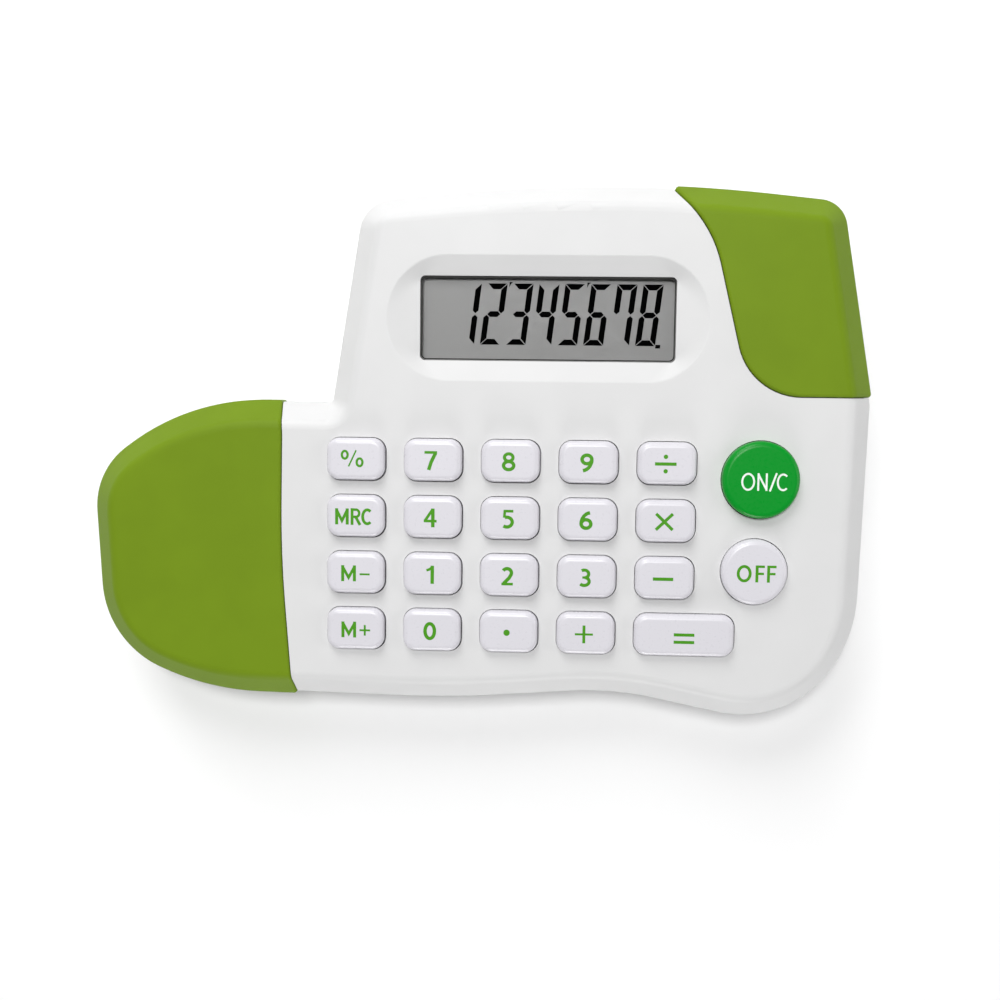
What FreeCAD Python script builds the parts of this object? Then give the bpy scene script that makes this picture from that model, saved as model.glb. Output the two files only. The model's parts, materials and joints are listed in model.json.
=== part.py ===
import FreeCAD, Part
import math
import os
import re

import Sketcher
from FreeCAD import Placement, Rotation, Vector

# Desk calculator lying on its rubber feet. Millimetres, +Z up through the keys, +Y towards the display,
# origin in the middle of the footprint on the surface that the feet rest on.

SIZES = {
    # heights above the desk
    "foot_height": 1.0,
    "parting_height": 9.0,
    "side_top": 13.0,
    "face_height": 18.0,
    "key_top": 19.8,
    "clear_key_top": 20.3,
    # casing
    "wall": 2.0,
    "bevel_width": 4.1,
    "bevel_round": 2.5,
    "base_round": 3.2,
    "lip_height": 1.2,
    "lip_width": 1.0,
    "lip_gap": 0.1,
    "seam_groove": 0.3,
    # green covers
    "cover_proud": 0.35,
    "cover_depth": 1.3,
    "cover_round": 0.7,
    "cover_seat_wall": 1.7,
    "peg_radius": 1.3,
    "peg_depth": 2.3,
    "slot_gap": 0.12,
    "backing_margin": 1.6,
    # keys
    "pitch_across": 15.0,
    "pitch_down": 11.1,
    "key_width": 11.3,
    "key_depth": 8.15,
    "key_corner": 2.5,
    "equals_width": 19.3,
    "clear_radius": 7.4,
    "off_radius": 6.35,
    "key_edge": 1.1,
    "key_gap": 0.18,
    "flange_lip": 0.8,
    "flange_base": 14.85,
    "flange_thick": 1.0,
    "stem_radius": 2.4,
    "stem_drop": 0.6,
    # display
    "window_width": 49.0,
    "window_depth": 16.0,
    "window_corner": 1.0,
    "recess_width": 61.8,
    "recess_depth": 24.0,
    "recess_corner": 11.9,
    "recess_drop": 1.6,
    "recess_rim": 0.6,
    "lens_flange": 1.5,
    "lens_step": 15.6,
    "lens_gap": 0.12,
    "glass_width": 52.0,
    "glass_depth": 21.0,
    "glass_ledge": 2.4,
    "glass_sheet": 0.9,
    "glass_top": 15.0,
    "reflector_thick": 0.2,
    "holder_base": 10.8,
    "holder_ear": 1.4,
    "ribbon_width": 44.0,
    # electronics
    "board_top": 11.8,
    "board_thick": 1.6,
    "mat_thick": 0.8,
    "dome_radius": 4.2,
    "dome_wall": 0.55,
    # fasteners
    "post_radius": 3.4,
    "boss_radius": 2.0,
    "holder_peg_radius": 1.2,
    "housing_pilot": 6.2,
    "board_pilot": 4.4,
    "housing_screw_radius": 1.1,
    "housing_head_radius": 2.3,
    "board_screw_radius": 0.8,
    "board_head_radius": 1.6,
    "door_screw_radius": 0.9,
    "door_head_radius": 1.9,
    "fit_gap": 0.06,
    # battery
    "cell_radius": 5.25,
    "cell_length": 44.5,
    "cell_height": 8.2,
    "door_thick": 1.6,
    "door_gap": 0.2,
    "door_width": 15.0,
    "door_length": 47.6,
    "bay_rim": 1.4,
    "bay_wall": 1.2,
    "bay_wall_height": 6.0,
    "lead_radius": 0.55,
    # feet
    "foot_radius": 5.0,
    "foot_inset": 0.6,
}

# Middle of the key in the second row, third column, and of the display window.
KEYPAD = Vector(7.05, -17.76, 0)
DISPLAY = Vector(13.75, 26.2, 0)
CLEAR_KEY = Vector(54.9, -4.0, 0)
OFF_KEY = Vector(54.2, -21.8, 0)
CELL = Vector(-48.0, -19.75, 0)

# The keys stand a little to the upper left in their openings.
OPENING_SHIFT = Vector(0.07, -0.05, 0)

# Casing outline, anticlockwise: the corners of its straight sides and the radius that rounds each.
CASING = [
    (-28.6, 9.65, 0.8),
    (-56.9, 9.65, 46.0),
    (-76.4, -4.8, 15.4),
    (-74.5, -39.4, 20.0),
    (-53.6, -48.4, 52.0),
    (-5.0, -49.4, 215.0),
    (27.5, -46.8, 62.0),
    (65.5, -54.4, 21.6),
    (75.35, -33.0, 28.0),
    (76.45, 10.5, 8.0),
    (69.7, 48.75, 6.0),
    (26.8, 53.4, 312.0),
    (-22.4, 48.8, 7.0),
]

# Seams between the casing and its covers: open runs with the radius that rounds each inner corner.
LEFT_SEAM = [(-34.9, -60.0, 0), (-38.0, -20.0, 220.0), (-37.63, 4.8, 20.0), (-40.4, 20.0, 0)]
CORNER_SEAM = [(30.0, 60.5, 0), (45.2, 42.0, 24.0), (52.6, 11.8, 12.5), (90.0, 11.8, 0)]

KEY_ROWS = [
    ["percent", "7", "8", "9", "divide"],
    ["mrc", "4", "5", "6", "multiply"],
    ["m_minus", "1", "2", "3", "minus"],
    ["m_plus", "0", "point", "plus", "equals"],
]

HOUSING_POSTS = [(-16.5, 42.0), (64.3, 42.6), (-35.0, 3.6), (-35.0, -43.0), (62.0, -43.6), (-68.3, -21.0)]
BOARD_BOSSES = [
    (-15.45, -6.66),
    (29.55, -6.66),
    (14.55, -17.76),
    (-15.45, -28.86),
    (29.55, -28.86),
    (64.5, -13.0),
]
HOLDER_PEGS = [(-17.6, 26.2), (45.1, 26.2)]
LEFT_PEGS = [(-66.0, -8.0), (-66.0, -34.0), (-42.0, -32.0)]
CORNER_PEGS = [(52.5, 42.0), (66.8, 28.0), (60.0, 17.5)]
DOOR_SCREWS = [(-36.8, -16.0), (-36.8, -24.0)]
RED_ROUTE = [
    (-46.0, 3.5, 11.6),
    (-43.0, 1.6, 12.9),
    (-38.5, -2.6, 13.4),
    (-33.5, -5.4, 13.2),
    (-29.6, -6.2, 12.36),
]
BLACK_ROUTE = [
    (-44.0, -44.0, 11.4),
    (-41.4, -40.2, 13.0),
    (-38.0, -35.2, 13.5),
    (-33.8, -31.8, 13.2),
    (-29.6, -30.6, 12.36),
]
FEET = [(-64.0, -34.0), (-8.0, 35.5), (56.0, 35.5), (55.0, -33.0)]

# The small plate of the battery door that carries its screws, and the parts that hang under the board.
DOOR_TAB = {"right": -33.8, "bottom": -28.2, "top": -11.8}
DOOR_CORNER = 1.2
BOARD_CORNERS = [(-31.0, 7.0, 1.5), (-31.0, -42.6, 1.5), (66.6, -42.6, 15.0), (66.6, 7.0, 1.5)]
MAT = {"centre": Vector(17.5, -17.9, 0), "width": 92.0, "depth": 43.4, "corner": 2.0}
CHIP = {"x": 4.0, "y": -18.0, "side": 9.0, "legs": 6, "leg_pitch": 1.2, "leg_width": 0.45, "reach": 6.0}
CANS = {"places": [(-12.0, -18.0), (28.0, -18.0)], "radius": 2.0, "height": 4.6}
RESISTORS = {"places": [(-6.0, -14.0), (-6.0, -22.0), (19.0, -12.0), (19.0, -24.0)], "height": 0.6}

doc = FreeCAD.newDocument("desk_calculator")
sheet = doc.addObject("Spreadsheet::Sheet", "sizes")
for row, (alias, number) in enumerate(SIZES.items(), 1):
    sheet.set(f"A{row}", alias)
    sheet.set(f"B{row}", str(number))
    sheet.setAlias(f"B{row}", alias)
doc.recompute()


def size(alias):
    return float(getattr(sheet, alias))


def expression(text):
    """The same words with each driving dimension read from the sheet."""
    return re.sub(r"[a-z][a-z_]+", lambda m: "sizes." + m.group() if m.group() in SIZES else m.group(), text)


def bind(obj, prop, value):
    obj.setExpression(prop, expression(str(value)))


def place(obj, x, y, z):
    """Puts an object's own origin at a point, each coordinate a number or words in driving dimensions."""
    for axis, value in (("x", x), ("y", y), ("z", z)):
        bind(obj, f"Placement.Base.{axis}", value)
    return obj


# ---------------------------------------------------------------- plane curves


def rounded_path(corners, inset=0.0, closed=True):
    """Lines and tangent arcs through rounded corners; a closed path is shrunk by the inset."""
    count = len(corners)
    points = [Vector(x, y, 0) for x, y, _ in corners]
    sides = count if closed else count - 1
    ways = [(points[(i + 1) % count] - points[i]).normalize() for i in range(sides)]
    starts, ends, arcs = {}, {}, {}
    for i in range(count):
        if not closed and i in (0, count - 1):
            starts[i] = ends[i] = points[i]
            continue
        before, after = ways[i - 1], ways[i]
        turn = math.atan2(before.x * after.y - before.y * after.x, before.dot(after))
        left = Vector(-before.y, before.x, 0)
        # The inset corner slides along the bisector of its two sides.
        corner = points[i] + left * inset + before * (-inset * math.tan(turn / 2))
        radius = corners[i][2] - math.copysign(inset, turn)
        reach = radius * math.tan(abs(turn) / 2)
        centre = corner - before * reach + left * math.copysign(radius, turn)
        ends[i] = corner - before * reach
        starts[i] = corner + after * reach
        middle = centre + (corner - centre).normalize() * radius
        arcs[i] = Part.Arc(ends[i], middle, starts[i])
    path = []
    for i in range(count):
        if i in arcs:
            path.append(arcs[i])
        if i < sides:
            path.append(Part.LineSegment(starts[i], ends[(i + 1) % count]))
    return path


def rounded_rectangle(centre, width, depth, radius):
    """A closed path round a rectangle with equal round corners."""
    half_x, half_y = width / 2, depth / 2
    signs = [(-1, -1), (1, -1), (1, 1), (-1, 1)]
    return rounded_path([(centre.x + sx * half_x, centre.y + sy * half_y, radius) for sx, sy in signs])


def circle(centre, radius):
    return [Part.Circle(Vector(centre.x, centre.y, 0), Vector(0, 0, 1), radius)]


def free_sketch(name, path, height):
    """A sketch of its own, lying flat at a height."""
    sketch = doc.addObject("Sketcher::SketchObject", name)
    sketch.addGeometry(path, False)
    place(sketch, 0, 0, height)
    return sketch


# ---------------------------------------------------------------- solids from the Part workbench


def extrude(name, path, base, height):
    """A plate or prism that stands on the height called base."""
    solid = doc.addObject("Part::Extrusion", name)
    solid.Base = free_sketch(name + "_sketch", path, base)
    solid.DirMode = "Normal"
    solid.Solid = True
    bind(solid, "LengthFwd", height)
    return solid


def cylinder(name, x, y, base, radius, height, axis=None):
    """An upright round bar, or one that lies along the given axis."""
    bar = doc.addObject("Part::Cylinder", name)
    bind(bar, "Radius", radius)
    bind(bar, "Height", height)
    if axis is not None:
        bar.Placement = Placement(Vector(), Rotation(Vector(0, 0, 1), axis))
    return place(bar, x, y, base)


def cone(name, x, y, base, low, high, height):
    solid = doc.addObject("Part::Cone", name)
    bind(solid, "Radius1", low)
    bind(solid, "Radius2", high)
    bind(solid, "Height", height)
    return place(solid, x, y, base)


def block(name, centre_x, centre_y, base, length, width, height):
    """A box on the height called base, centred over a point."""
    solid = doc.addObject("Part::Box", name)
    bind(solid, "Length", length)
    bind(solid, "Width", width)
    bind(solid, "Height", height)
    return place(solid, f"{centre_x} - ({length}) / 2", f"{centre_y} - ({width}) / 2", base)


def fuse(name, solids):
    union = doc.addObject("Part::MultiFuse", name)
    union.Shapes = solids
    return union


def common(name, solids):
    overlap = doc.addObject("Part::MultiCommon", name)
    overlap.Shapes = solids
    return overlap


def cut(name, base, tool):
    rest = doc.addObject("Part::Cut", name)
    rest.Base = base
    rest.Tool = tool
    return rest


def group(name, solids):
    """Separate solids kept as one node."""
    compound = doc.addObject("Part::Compound", name)
    compound.Links = solids
    return compound


def at_each(name, places, make):
    """One solid at each place, as a union that can be added or cut in one go."""
    return fuse(name, [make(f"{name}_{i}", x, y) for i, (x, y) in enumerate(places, 1)])


# ---------------------------------------------------------------- PartDesign bodies


def origin_plane(body, role):
    return next(feature for feature in body.Origin.OriginFeatures if feature.Role == role)


def body_sketch(body, name, path, height, role="XY_Plane"):
    sketch = body.newObject("Sketcher::SketchObject", name)
    sketch.AttachmentSupport = [(origin_plane(body, role), "")]
    sketch.MapMode = "FlatFace"
    sketch.addGeometry(path, False)
    bind(sketch, "AttachmentOffset.Base.z", height)
    return sketch


def rectangle_sketch(body, name, width, depth, height):
    """A rectangle centred on the body's own axis, its two sides bound to the sheet."""
    corners = [Vector(-5, -4, 0), Vector(5, -4, 0), Vector(5, 4, 0), Vector(-5, 4, 0)]
    lines = [Part.LineSegment(corners[i], corners[(i + 1) % 4]) for i in range(4)]
    sketch = body_sketch(body, name, lines, height)
    for side in range(4):
        sketch.addConstraint(Sketcher.Constraint("Coincident", side, 2, (side + 1) % 4, 1))
        sketch.addConstraint(Sketcher.Constraint(["Horizontal", "Vertical"][side % 2], side))
    sketch.addConstraint(Sketcher.Constraint("Symmetric", 0, 1, 2, 1, -1, 1))
    across = sketch.addConstraint(Sketcher.Constraint("DistanceX", 0, 1, 0, 2, 10.0))
    down = sketch.addConstraint(Sketcher.Constraint("DistanceY", 1, 1, 1, 2, 8.0))
    bind(sketch, f"Constraints[{across}]", width)
    bind(sketch, f"Constraints[{down}]", depth)
    return sketch


def circle_sketch(body, name, radius, height):
    sketch = body_sketch(body, name, circle(Vector(), 3.0), height)
    sketch.addConstraint(Sketcher.Constraint("Coincident", 0, 3, -1, 1))
    ring = sketch.addConstraint(Sketcher.Constraint("Radius", 0, 3.0))
    bind(sketch, f"Constraints[{ring}]", radius)
    return sketch


def pad(body, sketch, length):
    feature = body.newObject("PartDesign::Pad", sketch.Name + "_pad")
    feature.Profile = sketch
    bind(feature, "Length", length)
    return feature


def fillet(body, base, radius, chosen):
    """Rounds the chosen edges of a feature."""
    doc.recompute()
    names = [f"Edge{i}" for i, edge in enumerate(base.Shape.Edges, 1) if chosen(edge)]
    feature = body.newObject("PartDesign::Fillet", base.Name + "_round")
    feature.Base = (base, names)
    bind(feature, "Radius", radius)
    body.Tip = feature
    return feature


def flat_at(edge, height):
    box = edge.BoundBox
    return abs(box.ZMin - height) < 1e-6 and abs(box.ZMax - height) < 1e-6


def upright(edge):
    return edge.BoundBox.ZLength > 0.1 and edge.BoundBox.DiagonalLength - edge.BoundBox.ZLength < 1e-6


# ---------------------------------------------------------------- casing

BEVEL_LEAN = math.atan2(size("bevel_width"), size("face_height") - size("side_top"))
SIDE_SHIFT = math.tan(BEVEL_LEAN / 2)
FACE_SHIFT = math.tan((math.pi / 2 - BEVEL_LEAN) / 2)
CLIP_HEIGHT = "face_height - wall + 0.3"


def casing_skin(name, inset, rounded=False, recessed=False):
    """The front casing as a full solid, every face moved inwards by the sum of the named sizes.

    A name that starts with a minus sign moves the faces outwards."""
    depth = sum(-size(alias[1:]) if alias.startswith("-") else size(alias) for alias in inset)
    words = "(" + " + ".join(["0"] + inset) + ")"
    side_top = f"side_top - {words} * {SIDE_SHIFT:.5f}"
    face = f"face_height - {words}"
    wall = rounded_path(CASING, depth)
    body = doc.addObject("PartDesign::Body", name)
    pad(body, body_sketch(body, name + "_wall", wall, "parting_height"), f"{side_top} - parting_height")
    low = body_sketch(body, name + "_low", wall, side_top)
    high_path = rounded_path(CASING, size("bevel_width") + depth * FACE_SHIFT)
    bevel = body.newObject("PartDesign::AdditiveLoft", name + "_bevel")
    bevel.Profile = low
    bevel.Sections = [body_sketch(body, name + "_high", high_path, face)]
    bevel.Ruled = True
    body.Tip = bevel
    if rounded:
        side_edge = size("side_top") - depth * SIDE_SHIFT
        face_edge = size("face_height") - depth
        fillet(body, bevel, "bevel_round", lambda e: flat_at(e, side_edge) or flat_at(e, face_edge))
    if recessed:
        display_recess(body, name)
    return body


def display_recess(body, name):
    """The dished surround that slopes down to the window, with a softened rim."""
    rim_path = rounded_rectangle(DISPLAY, size("recess_width"), size("recess_depth"), size("recess_corner"))
    floor_path = rounded_rectangle(DISPLAY, size("window_width"), size("window_depth"), size("window_corner"))
    dish = body.newObject("PartDesign::SubtractiveLoft", name + "_dish")
    dish.Profile = body_sketch(body, name + "_rim", rim_path, "face_height")
    dish.Sections = [body_sketch(body, name + "_floor", floor_path, "face_height - recess_drop")]
    dish.Ruled = True
    body.Tip = dish
    reach = Vector(size("recess_width") / 2 + 0.1, size("recess_depth") / 2 + 0.1, 0)

    def on_rim(edge):
        away = edge.BoundBox.Center - DISPLAY
        return flat_at(edge, size("face_height")) and abs(away.x) < reach.x and abs(away.y) < reach.y

    fillet(body, dish, "recess_rim", on_rim)


def seam_region(name, seam, outer_corners, shift, base):
    """The prism on a cover's side of its seam, from a height up past the face."""
    moved = [(x + shift[0], y + shift[1], radius) for x, y, radius in seam]
    path = rounded_path(moved, closed=False)
    ring = [moved[-1][:2]] + outer_corners + [moved[0][:2]]
    for start, end in zip(ring, ring[1:]):
        path.append(Part.LineSegment(Vector(*start, 0), Vector(*end, 0)))
    return extrude(name, path, base, f"face_height + 4 - ({base})")


def left_region(name, gap, base):
    return seam_region(name, LEFT_SEAM, [(-90.0, 20.0), (-90.0, -60.0)], (gap, 0), base)


def corner_region(name, gap, base):
    return seam_region(name, CORNER_SEAM, [(90.0, 60.5)], (-gap, -gap), base)


def cover(name, skin, region, seat, pegs):
    """A coloured cover: a slice of the proud skin that lies in its lowered seat, with pegs below."""
    shell = cut(name + "_shell", common(name + "_slice", [skin, region]), seat)
    doc.recompute()
    radius = size("cover_round")

    def on_seam(edge):
        middle = Part.Vertex(edge.valueAt((edge.FirstParameter + edge.LastParameter) / 2))
        surfaces = [solid.Shape.Shells[0] for solid in (region, skin)]
        above = edge.BoundBox.ZMax > size("parting_height") + 0.01
        return above and all(surface.distToShape(middle)[0] < 1e-4 for surface in surfaces)

    soft = doc.addObject("Part::Fillet", name + "_soft")
    soft.Base = shell
    soft.Edges = [(i, radius, radius) for i, edge in enumerate(shell.Shape.Edges, 1) if on_seam(edge)]
    base = "face_height - cover_depth - peg_depth"
    bars = at_each(
        name + "_pegs", pegs, lambda n, x, y: cylinder(n, x, y, base, "peg_radius", "peg_depth + 0.3")
    )
    return fuse(name, [soft, bars])


def key_cutters():
    """The openings that the keys stand in, each a little larger than its key."""
    paths = []
    for row in range(4):
        for column in range(5):
            centre = key_centre(row, column) + OPENING_SHIFT
            width = size("key_width")
            if (row, column) == (3, 4):
                width = size("equals_width")
                centre.x += (size("equals_width") - size("key_width")) / 2
            gap = size("key_gap")
            depth = size("key_depth")
            paths += rounded_rectangle(centre, width + 2 * gap, depth + 2 * gap, size("key_corner") + gap)
    paths += circle(CLEAR_KEY + OPENING_SHIFT, size("clear_radius") + size("key_gap"))
    paths += circle(OFF_KEY + OPENING_SHIFT, size("off_radius") + size("key_gap"))
    return extrude("key_openings", paths, "face_height - wall - 1", "wall + 3")


def key_centre(row, column):
    right = (column - 2) * size("pitch_across")
    up = (1.5 - row) * size("pitch_down")
    return KEYPAD + Vector(right, up, 0)


def front_shell(seat, backing_core):
    """Upper casing: face, bevel and side, with lowered seats for the covers and its posts inside."""
    outer = casing_skin("outer_skin", [], rounded=True, recessed=True)
    walls = cut("front_walls", outer, casing_skin("cavity_skin", ["wall"]))
    below = "parting_height - 0.5"
    gap = size("slot_gap")
    slots = [left_region("left_slot", gap, below), corner_region("corner_slot", gap, below)]
    lowered = cut("lowered_front", walls, cut("cover_pockets", fuse("cover_slots", slots), seat))
    above_lip = "parting_height + lip_height + 0.2"
    margin = size("backing_margin")
    backs = [left_region("left_back", margin, above_lip), corner_region("corner_back", margin, above_lip)]
    under_covers = common("under_covers", [seat, fuse("backs", backs)])
    backing = cut("cover_backing", under_covers, backing_core)
    posts = at_each(
        "front_posts",
        HOUSING_POSTS,
        lambda n, x, y: cylinder(n, x, y, "parting_height", "post_radius", f"{CLIP_HEIGHT} - parting_height"),
    )
    bosses = at_each(
        "board_bosses",
        BOARD_BOSSES,
        lambda n, x, y: cylinder(n, x, y, "board_top", "boss_radius", f"{CLIP_HEIGHT} - board_top"),
    )
    pegs = at_each(
        "holder_pegs",
        HOLDER_PEGS,
        lambda n, x, y: cylinder(
            n, x, y, "holder_base - 0.6", "holder_peg_radius", f"{CLIP_HEIGHT} - holder_base + 0.6"
        ),
    )
    standing = common("front_standing", [fuse("front_bars", [posts, bosses, pegs]), seat])
    frame_path = rounded_rectangle(DISPLAY, size("recess_width"), size("recess_depth"), size("recess_corner"))
    frame = extrude("window_frame", frame_path, "lens_step", "face_height - wall + 0.1 - lens_step")
    whole = fuse("front_whole", [lowered, backing, standing, frame])
    opening_path = rounded_rectangle(
        DISPLAY,
        size("window_width") + 2 * size("lens_gap"),
        size("window_depth") + 2 * size("lens_gap"),
        size("window_corner"),
    )
    opening = extrude("window_opening", opening_path, "lens_step - 0.2", "face_height - lens_step")
    peg_holes = at_each(
        "cover_peg_holes",
        LEFT_PEGS + CORNER_PEGS,
        lambda n, x, y: cylinder(
            n, x, y, "parting_height + 2", "peg_radius + fit_gap", "face_height - parting_height"
        ),
    )
    housing_pilots = at_each(
        "housing_pilots",
        HOUSING_POSTS,
        lambda n, x, y: cylinder(
            n, x, y, "parting_height - 1", "housing_screw_radius + fit_gap", "housing_pilot"
        ),
    )
    board_pilots = at_each(
        "board_pilots",
        BOARD_BOSSES,
        lambda n, x, y: cylinder(n, x, y, "board_top - 1", "board_screw_radius + fit_gap", "board_pilot"),
    )
    holes = fuse("front_holes", [opening, key_cutters(), peg_holes, housing_pilots, board_pilots])
    return cut("front_shell", whole, holes)


def ring(name, outer, inner, base, height):
    """A band that follows the casing outline between two insets."""
    outside = extrude(name + "_outside", rounded_path(CASING, outer), base, height)
    inside = extrude(name + "_inside", rounded_path(CASING, inner), f"{base} - 0.5", f"{height} + 1")
    return cut(name, outside, inside)


def door_path(growth):
    """The battery door's outline: a long plate with one tab for its two screws."""
    left = CELL.x - size("door_width") / 2
    right = CELL.x + size("door_width") / 2
    bottom = CELL.y - size("door_length") / 2
    top = CELL.y + size("door_length") / 2
    tab_right, tab_bottom, tab_top = DOOR_TAB["right"], DOOR_TAB["bottom"], DOOR_TAB["top"]
    corners = [(left, bottom), (right, bottom), (right, tab_bottom), (tab_right, tab_bottom)]
    corners += [(tab_right, tab_top), (right, tab_top), (right, top), (left, top)]
    return rounded_path([(x, y, DOOR_CORNER) for x, y in corners], -growth)


def rear_shell():
    """Lower casing: a tray with a lip, screw posts, the battery bay and a recess for its door."""
    tray = doc.addObject("PartDesign::Body", "rear_tray")
    outline = body_sketch(tray, "rear_outline", rounded_path(CASING), "foot_height")
    solid = pad(tray, outline, "parting_height - foot_height")
    base_edge = size("foot_height")
    fillet(tray, solid, "base_round", lambda e: flat_at(e, base_edge))
    room = extrude("rear_room", rounded_path(CASING, size("wall")), "foot_height + wall", "parting_height")
    lip_gap = size("lip_gap")
    lip_inner = size("wall") + lip_gap + size("lip_width")
    lip_root = ring("lip_root", size("wall") - lip_gap, lip_inner, "parting_height - 1.5", 1.4)
    lip_top = ring("lip_top", size("wall") + lip_gap, lip_inner, "parting_height - 0.2", "lip_height + 0.2")
    round_posts = at_each(
        "post_rooms",
        HOUSING_POSTS,
        lambda n, x, y: cylinder(n, x, y, "parting_height - 0.1", "post_radius + 0.15", "lip_height + 1"),
    )
    lip = cut("lip", fuse("lip_rings", [lip_root, lip_top]), round_posts)
    floor = "foot_height + wall - 0.2"
    posts = at_each(
        "rear_posts",
        HOUSING_POSTS,
        lambda n, x, y: cylinder(n, x, y, floor, "post_radius", f"parting_height - ({floor})"),
    )
    door_posts = at_each(
        "door_posts", DOOR_SCREWS, lambda n, x, y: cylinder(n, x, y, floor, "door_screw_radius + 1.5", 5.2)
    )
    bay = block(
        "bay_floor", CELL.x, CELL.y, floor, "door_width + 2 * 1.3", "door_length + 2 * bay_rim", "bay_rim"
    )
    tab_width = f"{DOOR_TAB['right'] - CELL.x} - door_width / 2 + 1.3"
    tab_x = f"{CELL.x} + door_width / 2 + ({tab_width}) / 2"
    tab_y = (DOOR_TAB["bottom"] + DOOR_TAB["top"]) / 2
    tab_length = f"{DOOR_TAB['top'] - DOOR_TAB['bottom']} + 2 * bay_wall"
    tab_bay = block("tab_floor", tab_x, tab_y, floor, tab_width, tab_length, "bay_rim")
    sides = []
    for n, shift in ((1, -6), (2, 6)):
        length = "cell_length + 3 * bay_wall"
        place_x = CELL.x + shift
        sides.append(
            block(f"bay_side_{n}", place_x, CELL.y - 1.2, floor, "bay_wall", length, "bay_wall_height")
        )
    ends = []
    for n, y in ((1, 3.55), (2, -45.4)):
        ends.append(block(f"bay_end_{n}", CELL.x, y, floor, "12 + bay_wall", "bay_wall", "bay_wall_height"))
    inner = common("bay_inside", [fuse("bay_parts", [bay, tab_bay, door_posts] + sides + ends), tray])
    room_left = cut("tray_walls", tray, room)
    whole = fuse("rear_whole", [room_left, lip, common("rear_post_bars", [posts, tray]), inner])
    recess = extrude("door_recess", door_path(size("door_gap")), "foot_height - 1", "door_thick + 1.05")
    mouth = block("bay_mouth", CELL.x, CELL.y, 0, "2 * cell_radius + 1.7", "cell_length + 1.3", 6)
    door_pilots = at_each(
        "door_pilots",
        DOOR_SCREWS,
        lambda n, x, y: cylinder(n, x, y, "foot_height", "door_screw_radius + 0.3", 6),
    )
    foot_seats = at_each(
        "foot_seats",
        FEET,
        lambda n, x, y: cylinder(n, x, y, 0, "foot_radius + fit_gap", "foot_height + foot_inset"),
    )
    head_rooms = at_each(
        "head_rooms",
        HOUSING_POSTS,
        lambda n, x, y: cylinder(n, x, y, 0, "housing_head_radius + 0.2", "foot_height + 3.2"),
    )
    shank_rooms = at_each(
        "shank_rooms",
        HOUSING_POSTS,
        lambda n, x, y: cylinder(n, x, y, 0, "housing_screw_radius + 0.2", "parting_height + 1"),
    )
    groove = ring("groove", -1.0, size("seam_groove"), "parting_height - seam_groove", "seam_groove + 0.5")
    holes = [recess, mouth, door_pilots, foot_seats, head_rooms, shank_rooms, groove]
    return cut("rear_shell", whole, fuse("rear_holes", holes))


# ---------------------------------------------------------------- keys


def key(name, x, y, top, draw, corner):
    """A hard key: cap, the flange that keeps it under the face, and the stem that meets its dome."""
    body = doc.addObject("PartDesign::Body", name)
    pad(body, draw(body, name + "_flange", "flange_lip", "flange_base"), "flange_thick")
    cap_base = "flange_base + flange_thick"
    pad(body, draw(body, name + "_cap", "0", cap_base), f"{top} - ({cap_base})")
    stem = pad(body, circle_sketch(body, name + "_stem", "stem_radius", "flange_base"), "stem_drop")
    stem.Reversed = True
    last = stem
    if corner:
        flange_top = size("flange_base") + size("flange_thick")

        def of_flange(edge):
            return upright(edge) and edge.BoundBox.ZMax < flange_top + 1e-6

        def of_cap(edge):
            return upright(edge) and edge.BoundBox.ZMax > flange_top + 0.1

        last = fillet(body, last, "key_corner + flange_lip", of_flange)
        last = fillet(body, last, "key_corner", of_cap)
    fillet(body, last, "key_edge", lambda e: flat_at(e, size(top)))
    return place(body, x, y, 0)


def rectangular_key(name, x, y, width):
    def draw(body, label, lip, height):
        return rectangle_sketch(body, label, f"{width} + 2 * {lip}", f"key_depth + 2 * {lip}", height)

    return key(name, x, y, "key_top", draw, True)


def round_key(name, centre, radius, top):
    def draw(body, label, lip, height):
        return circle_sketch(body, label, f"{radius} + {lip}", height)

    return key(name, centre.x, centre.y, top, draw, False)


def all_keys():
    keys = []
    for row, names in enumerate(KEY_ROWS):
        for column, name in enumerate(names):
            x = f"{KEYPAD.x} + {column - 2} * pitch_across"
            y = f"{KEYPAD.y} + {1.5 - row} * pitch_down"
            width = "key_width"
            if name == "equals":
                width = "equals_width"
                x += " + (equals_width - key_width) / 2"
            keys.append(rectangular_key("key_" + name, x, y, width))
    keys.append(round_key("key_on_clear", CLEAR_KEY, "clear_radius", "clear_key_top"))
    keys.append(round_key("key_off", OFF_KEY, "off_radius", "key_top"))
    return keys


def stem_places():
    places = [key_centre(row, column) for row in range(4) for column in range(5)]
    places[-1].x += (size("equals_width") - size("key_width")) / 2
    return [(p.x, p.y) for p in places + [CLEAR_KEY, OFF_KEY]]


def dome_mat():
    """Rubber sheet on the board with a hollow dome under each key."""
    sheet_path = rounded_rectangle(MAT["centre"], MAT["width"], MAT["depth"], MAT["corner"])
    flat = extrude("mat_sheet", sheet_path, "board_top", "mat_thick")
    base = "board_top + mat_thick"
    rise = "flange_base - stem_drop - board_top - mat_thick"
    domes = at_each(
        "domes", stem_places(), lambda n, x, y: cone(n, x, y, base, "dome_radius", "stem_radius + 0.3", rise)
    )
    hollow = "dome_radius - dome_wall"
    rooms = at_each(
        "dome_rooms",
        stem_places(),
        lambda n, x, y: cone(n, x, y, "board_top", hollow, "stem_radius - 0.4", f"{rise} + mat_thick - 0.7"),
    )
    post_holes = at_each(
        "mat_holes", BOARD_BOSSES, lambda n, x, y: cylinder(n, x, y, "board_top - 1", "boss_radius + 0.3", 4)
    )
    return cut("dome_mat", fuse("mat_whole", [flat, domes]), fuse("mat_rooms", [rooms, post_holes]))


# ---------------------------------------------------------------- display

GLASS_Y = DISPLAY.y - 0.5
REFLECTOR_BASE = "glass_top - 2 * glass_sheet - reflector_thick"


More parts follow.
